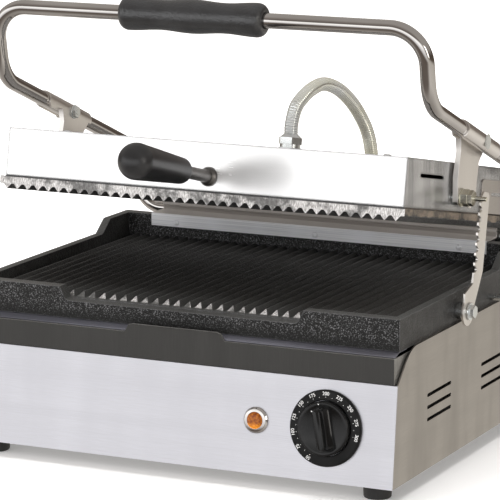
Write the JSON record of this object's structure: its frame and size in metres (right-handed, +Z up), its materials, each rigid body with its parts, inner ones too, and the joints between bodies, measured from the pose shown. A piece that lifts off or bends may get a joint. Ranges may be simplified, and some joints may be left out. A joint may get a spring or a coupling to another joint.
{
  "type": "panini_press",
  "caption": "Commercial contact grill with ribbed cast-iron plates, a tilting upper housing on a bent tube handle, a notched support bar, a thermostat dial and a grease drawer",
  "frame": {"origin": "on the floor under the middle of the whole press, from the ball of the front grip to the cable inlet at the rear", "axes": "+Z up, +X towards the user's right, -Y towards the user"},
  "size_m": [0.4276, 0.4843, 0.3921],
  "materials": {
    "brushed_front": "light brushed stainless sheet",
    "brushed_side": "brushed stainless sheet, warm grey",
    "polished": "smooth polished stainless sheet",
    "zinc_sheet": "galvanised sheet",
    "tray_steel": "dark coated steel",
    "iron": "rough seasoned cast iron, machined at the tips",
    "element": "dark sheathed heating element",
    "chrome": "polished chrome",
    "zinc": "bright zinc plate",
    "yellow_zinc": "yellow zinc plate",
    "rod_steel": "bare grey steel",
    "hose_metal": "corrugated metal hose",
    "black_plastic": "matte black moulding",
    "black_gloss": "glossy black moulding",
    "white_plastic": "off-white moulding",
    "amber": "amber translucent lens",
    "rubber": "black rubber"
  },
  "bodies": {
    "base": {"front_panel": "brushed_front", "side_panel_left": "brushed_side", "side_panel_right": "brushed_side", "rear_panel": "brushed_side", "bottom_plate": "zinc_sheet", "foot_front_left": "rubber", "foot_front_right": "rubber", "foot_rear_left": "rubber", "foot_rear_right": "rubber", "foot_screws": "zinc", "lower_plate": "iron", "lower_heating_element": "element", "lower_element_clamp": "zinc_sheet", "dial_ring": "black_plastic", "thermostat_body": "white_plastic", "lamp_bezel": "chrome", "lamp_lens": "amber", "lamp_body": "white_plastic", "terminal_block": "white_plastic", "inlet_gland": "black_plastic", "conduit_gland_base": "zinc", "conduit_hose": "hose_metal", "hinge_block_left": "iron", "hinge_block_right": "iron", "hinge_cover": "brushed_front", "cover_screws": "zinc", "bar_bolt": "zinc", "bar_spacer": "zinc", "bar_rest_pin": "zinc"},
    "arm_frame": {"handle_tube": "chrome", "handle_grip": "black_plastic", "hinge_collars": "zinc", "arm_bracket_left": "brushed_front", "arm_bracket_right": "brushed_front", "bracket_bolts": "zinc", "pivot_bolt_left": "zinc", "pivot_bolt_right": "zinc", "pivot_spacers": "zinc", "pivot_nuts": "yellow_zinc"},
    "upper_head": {"upper_casing": "polished", "upper_rear_cover": "brushed_side", "casing_screws": "zinc", "upper_plate": "iron", "plate_posts": "zinc", "upper_heating_element": "element", "upper_element_clamp": "zinc_sheet", "front_rod": "rod_steel", "front_grip": "black_plastic", "conduit_gland_top": "zinc"},
    "support_bar_body": {"support_bar": "brushed_front"},
    "drawer": {"grease_tray": "tray_steel"},
    "knob": {"control_knob": "black_gloss"}
  },
  "joints": [
    {"name": "arm_hinge", "type": "hinge", "parent": "base", "child": "arm_frame", "pos_m": [0, 0.17635, 0.161], "axis": [-1, 0, 0], "range_deg": [-19.1, 40], "deforming": ["conduit_hose"]},
    {"name": "head_tilt", "type": "hinge", "parent": "arm_frame", "child": "upper_head", "pos_m": [0, 0.01085, 0.22486], "axis": [-1, 0, 0], "range_deg": [-17.06, 8.2]},
    {"name": "support_bar_swing", "type": "hinge", "parent": "base", "child": "support_bar_body", "pos_m": [0.205, -0.01005, 0.13276], "axis": [-1, 0, 0], "range_deg": [-3.2, 56]},
    {"name": "tray_slide", "type": "slide", "parent": "base", "child": "drawer", "axis": [0, -1, 0], "range_m": [0, 0.085]},
    {"name": "thermostat_turn", "type": "hinge", "parent": "base", "child": "knob", "pos_m": [0.1398, -0.15084, 0.0573], "axis": [0, 0.9942, -0.108], "range_deg": [0, 270]}
  ],
  "couplings": [
    {"joint": "head_tilt", "follows": "arm_hinge", "ratio": -0.424}
  ]
}
